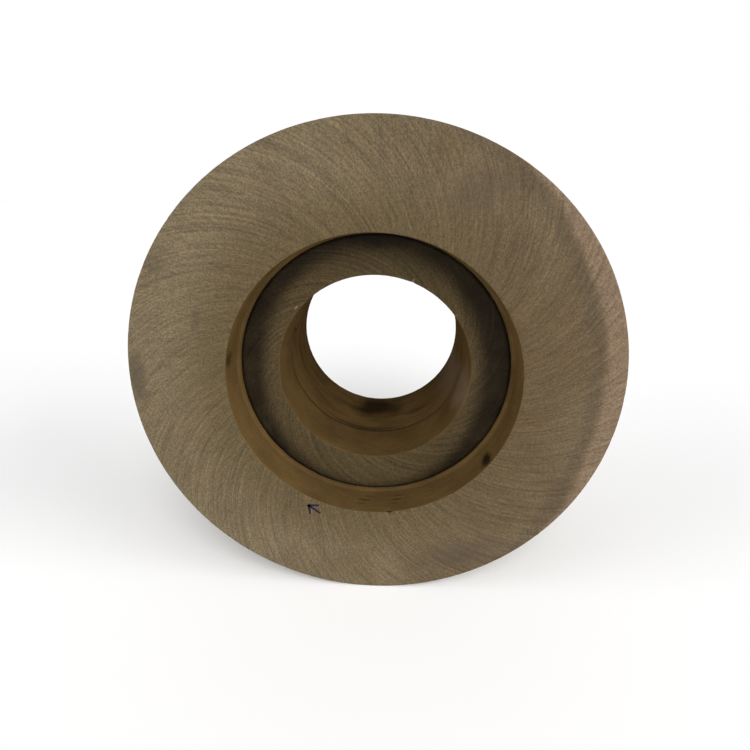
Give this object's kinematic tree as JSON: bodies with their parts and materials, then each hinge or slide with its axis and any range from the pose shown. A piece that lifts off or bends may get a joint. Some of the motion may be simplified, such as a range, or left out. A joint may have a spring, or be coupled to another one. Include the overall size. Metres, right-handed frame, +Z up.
{
  "type": "recessed grinding wheel",
  "caption": "Wide bonded abrasive grinding wheel, recessed on one side for its clamping flange, with a large plain through bore.",
  "frame": {"origin": "the wheel's centre, on its axis at mid-width", "axes": "the wheel's axis along Y with the recessed front face towards -Y, +Z up, standing on its rim"},
  "size_m": [0.305, 0.127, 0.305],
  "materials": {
    "abrasive": "ground, fine-grained and matt",
    "cement": "cured resin, matt"
  },
  "bodies": {
    "root": {"front_section": "abrasive", "rear_section": "abrasive", "cement_layer": "cement"}
  },
  "joints": []
}
